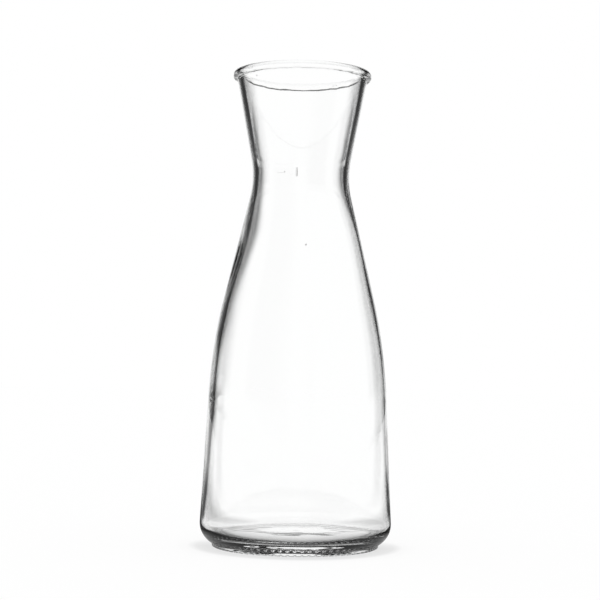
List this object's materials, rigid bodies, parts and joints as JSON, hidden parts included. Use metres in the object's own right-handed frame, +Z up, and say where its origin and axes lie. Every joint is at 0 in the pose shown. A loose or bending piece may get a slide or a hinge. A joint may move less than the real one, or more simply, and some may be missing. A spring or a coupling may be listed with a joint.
{
  "type": "glass carafe",
  "caption": "Clear glass table carafe with a flared neck, rolled rim bead, narrow waist, long shoulder, thick hollowed base and a knurled bearing ring.",
  "frame": {"origin": "centre of the foot, on the plane of the table", "axes": "+Z up along the carafe's axis; the level mark on the neck faces -Y"},
  "size_m": [0.1031, 0.1032, 0.257],
  "materials": {
    "clear_glass": "clear, fire-polished, smooth"
  },
  "bodies": {
    "root": {"glass_body": "clear_glass"}
  },
  "joints": []
}
